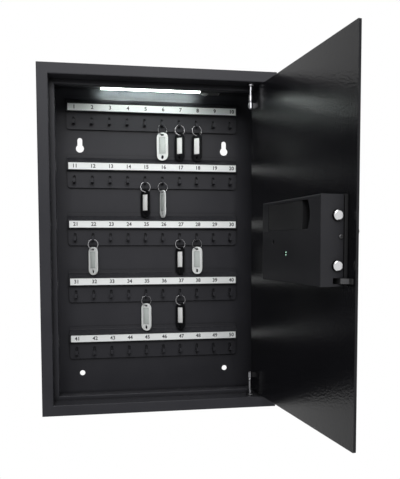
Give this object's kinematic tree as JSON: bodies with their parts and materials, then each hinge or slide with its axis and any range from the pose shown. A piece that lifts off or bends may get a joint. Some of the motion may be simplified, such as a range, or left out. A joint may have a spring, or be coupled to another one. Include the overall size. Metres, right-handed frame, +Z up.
{
  "type": "key cabinet",
  "caption": "Wall-mounted black steel key cabinet with an electronic bolt lock on its hinged door, numbered hook rails, a light bar, and key tags on split rings.",
  "frame": {"origin": "middle of the back face, which lies against the wall", "axes": "+X to the right seen from the front, +Y into the wall, +Z up"},
  "size_m": [0.4181, 0.4395, 0.55],
  "materials": {
    "powder_coat": "matt black powder coat",
    "door_enamel": "semi-gloss black coat",
    "bright_steel": "polished",
    "zinc_plate": "zinc plated",
    "chromed_bolt": "polished",
    "black_plastic": "fine grain",
    "grey_plastic": "satin",
    "number_strip": "printed plastic strip",
    "white_tag": "moulded",
    "black_tag": "moulded",
    "diffuser": "translucent white, lit",
    "green_lens": "clear green",
    "cell_wrap": "printed sleeve",
    "solenoid_wrap": "tape",
    "keypad_face": "membrane"
  },
  "bodies": {
    "cabinet": {"body_shell": "powder_coat", "back_panel": "powder_coat", "hook_rail_1": "powder_coat", "hook_rail_2": "powder_coat", "hook_rail_3": "powder_coat", "hook_rail_4": "powder_coat", "hook_rail_5": "powder_coat", "number_strip_1": "number_strip", "number_strip_2": "number_strip", "number_strip_3": "number_strip", "number_strip_4": "number_strip", "number_strip_5": "number_strip", "light_housing": "black_plastic", "light_diffuser": "diffuser", "light_sensor_dome": "grey_plastic", "hinge_pin_top": "bright_steel", "hinge_pin_bottom": "bright_steel"},
    "door": {"door_leaf": "door_enamel", "hinge_knuckle_top": "bright_steel", "hinge_knuckle_bottom": "bright_steel", "lock_base": "black_plastic", "lock_cover": "powder_coat", "battery_tub": "black_plastic", "battery_cells": "cell_wrap", "status_lens": "green_lens", "cover_screw": "zinc_plate", "guide_tongue": "zinc_plate", "solenoid": "solenoid_wrap", "keypad_housing": "black_plastic", "keypad_pad": "keypad_face", "override_cylinder": "bright_steel"},
    "battery_lid": {"battery_lid": "black_plastic"},
    "bolts": {"bolt_carriage": "zinc_plate", "lock_bolt_upper": "chromed_bolt", "lock_bolt_lower": "chromed_bolt"},
    "knob": {"spindle_crank": "zinc_plate", "lock_knob": "black_plastic"},
    "reset_button": {"reset_button": "grey_plastic"},
    "plunger": {"solenoid_plunger": "bright_steel"},
    "override_plug": {"override_plug": "black_plastic"},
    "ring_06": {"split_ring_06": "bright_steel"},
    "tag_06": {"key_tag_06": "white_tag"},
    "ring_07": {"split_ring_07": "bright_steel"},
    "tag_07": {"key_tag_07": "black_tag"},
    "ring_08": {"split_ring_08": "bright_steel"},
    "tag_08": {"key_tag_08": "black_tag"},
    "ring_15": {"split_ring_15": "bright_steel"},
    "tag_15": {"key_tag_15": "black_tag"},
    "ring_16": {"split_ring_16": "bright_steel"},
    "tag_16": {"key_tag_16": "white_tag"},
    "ring_22": {"split_ring_22": "bright_steel"},
    "tag_22": {"key_tag_22": "white_tag"},
    "ring_27": {"split_ring_27": "bright_steel"},
    "tag_27": {"key_tag_27": "black_tag"},
    "ring_28": {"split_ring_28": "bright_steel"},
    "tag_28": {"key_tag_28": "white_tag"},
    "ring_35": {"split_ring_35": "bright_steel"},
    "tag_35": {"key_tag_35": "white_tag"},
    "ring_37": {"split_ring_37": "bright_steel"},
    "tag_37": {"key_tag_37": "black_tag"}
  },
  "joints": [
    {"name": "door_hinge", "type": "hinge", "parent": "cabinet", "child": "door", "pos_m": [0.1495, -0.126, 0], "axis": [0, 0, 1], "range_deg": [-97, 21]},
    {"name": "battery_lid_hinge", "type": "hinge", "parent": "door", "child": "battery_lid", "pos_m": [0.14097, -0.26739, 0.0327], "axis": [0, 0, -1], "range_deg": [0, 100]},
    {"name": "knob_turn", "type": "hinge", "parent": "door", "child": "knob", "pos_m": [0.19176, -0.36765, 0.012], "axis": [-0.9925, -0.1219, 0], "range_deg": [0, 90]},
    {"name": "bolt_slide", "type": "slide", "parent": "door", "child": "bolts", "axis": [0.1219, -0.9925, 0], "range_m": [0, 0.028]},
    {"name": "reset_button_press", "type": "slide", "parent": "door", "child": "reset_button", "axis": [0.9925, 0.1219, 0], "range_m": [0, 0.002], "stiffness_N_per_m": 300},
    {"name": "plunger_slide", "type": "slide", "parent": "door", "child": "plunger", "axis": [0, 0, 1], "range_m": [0, 0.004], "stiffness_N_per_m": 120},
    {"name": "override_plug_pull", "type": "slide", "parent": "door", "child": "override_plug", "axis": [0.9925, 0.1219, 0], "range_m": [0, 0.012]},
    {"name": "ring_06_swing", "type": "hinge", "parent": "cabinet", "child": "ring_06", "pos_m": [0.0156, -0.0145, 0.2011], "axis": [-0.3907, 0.9205, 0], "range_deg": [-8, 8]},
    {"name": "tag_06_lift", "type": "hinge", "parent": "ring_06", "child": "tag_06", "pos_m": [0.0156, -0.0145, 0.1924], "axis": [-0.9205, -0.3907, 0], "range_deg": [-1.5, 45]},
    {"name": "ring_07_swing", "type": "hinge", "parent": "cabinet", "child": "ring_07", "pos_m": [0.0468, -0.0145, 0.2011], "axis": [-0.1392, 0.9903, 0], "range_deg": [-8, 8]},
    {"name": "tag_07_lift", "type": "hinge", "parent": "ring_07", "child": "tag_07", "pos_m": [0.0468, -0.0145, 0.1924], "axis": [-0.9903, -0.1392, 0], "range_deg": [-1.5, 45]},
    {"name": "ring_08_swing", "type": "hinge", "parent": "cabinet", "child": "ring_08", "pos_m": [0.078, -0.0145, 0.2011], "axis": [-0.1736, 0.9848, 0], "range_deg": [-8, 8]},
    {"name": "tag_08_lift", "type": "hinge", "parent": "ring_08", "child": "tag_08", "pos_m": [0.078, -0.0145, 0.1924], "axis": [-0.9848, -0.1736, 0], "range_deg": [-1.5, 45]},
    {"name": "ring_15_swing", "type": "hinge", "parent": "cabinet", "child": "ring_15", "pos_m": [-0.0156, -0.0145, 0.0991], "axis": [-0.1045, 0.9945, 0], "range_deg": [-8, 8]},
    {"name": "tag_15_lift", "type": "hinge", "parent": "ring_15", "child": "tag_15", "pos_m": [-0.0156, -0.0145, 0.0904], "axis": [-0.9945, -0.1045, 0], "range_deg": [-1.5, 45]},
    {"name": "ring_16_swing", "type": "hinge", "parent": "cabinet", "child": "ring_16", "pos_m": [0.0156, -0.0145, 0.0991], "axis": [-0.1736, 0.9848, 0], "range_deg": [-8, 8]},
    {"name": "tag_16_lift", "type": "hinge", "parent": "ring_16", "child": "tag_16", "pos_m": [0.0156, -0.0145, 0.0904], "axis": [-0.9848, -0.1736, 0], "range_deg": [0, 45]},
    {"name": "ring_22_swing", "type": "hinge", "parent": "cabinet", "child": "ring_22", "pos_m": [-0.1092, -0.0145, -0.0029], "axis": [-0.1392, 0.9903, 0], "range_deg": [-8, 8]},
    {"name": "tag_22_lift", "type": "hinge", "parent": "ring_22", "child": "tag_22", "pos_m": [-0.1092, -0.0145, -0.0116], "axis": [-0.9903, -0.1392, 0], "range_deg": [-1.5, 45]},
    {"name": "ring_27_swing", "type": "hinge", "parent": "cabinet", "child": "ring_27", "pos_m": [0.0468, -0.0145, -0.0029], "axis": [-0.0698, 0.9976, 0], "range_deg": [-8, 8]},
    {"name": "tag_27_lift", "type": "hinge", "parent": "ring_27", "child": "tag_27", "pos_m": [0.0468, -0.0145, -0.0116], "axis": [-0.9976, -0.0698, 0], "range_deg": [-1.5, 45]},
    {"name": "ring_28_swing", "type": "hinge", "parent": "cabinet", "child": "ring_28", "pos_m": [0.078, -0.0145, -0.0029], "axis": [-0.1736, 0.9848, 0], "range_deg": [-8, 8]},
    {"name": "tag_28_lift", "type": "hinge", "parent": "ring_28", "child": "tag_28", "pos_m": [0.078, -0.0145, -0.0116], "axis": [-0.9848, -0.1736, 0], "range_deg": [-1.5, 45]},
    {"name": "ring_35_swing", "type": "hinge", "parent": "cabinet", "child": "ring_35", "pos_m": [-0.0156, -0.0145, -0.1049], "axis": [-0.2079, 0.9781, 0], "range_deg": [-8, 8]},
    {"name": "tag_35_lift", "type": "hinge", "parent": "ring_35", "child": "tag_35", "pos_m": [-0.0156, -0.0145, -0.1136], "axis": [-0.9781, -0.2079, 0], "range_deg": [-1.5, 45]},
    {"name": "ring_37_swing", "type": "hinge", "parent": "cabinet", "child": "ring_37", "pos_m": [0.0468, -0.0145, -0.1049], "axis": [-0.1045, 0.9945, 0], "range_deg": [-8, 8]},
    {"name": "tag_37_lift", "type": "hinge", "parent": "ring_37", "child": "tag_37", "pos_m": [0.0468, -0.0145, -0.1136], "axis": [-0.9945, -0.1045, 0], "range_deg": [-1.5, 45]}
  ],
  "couplings": [
    {"joint": "knob_turn", "follows": "bolt_slide", "rad_per_m": 56.099}
  ]
}
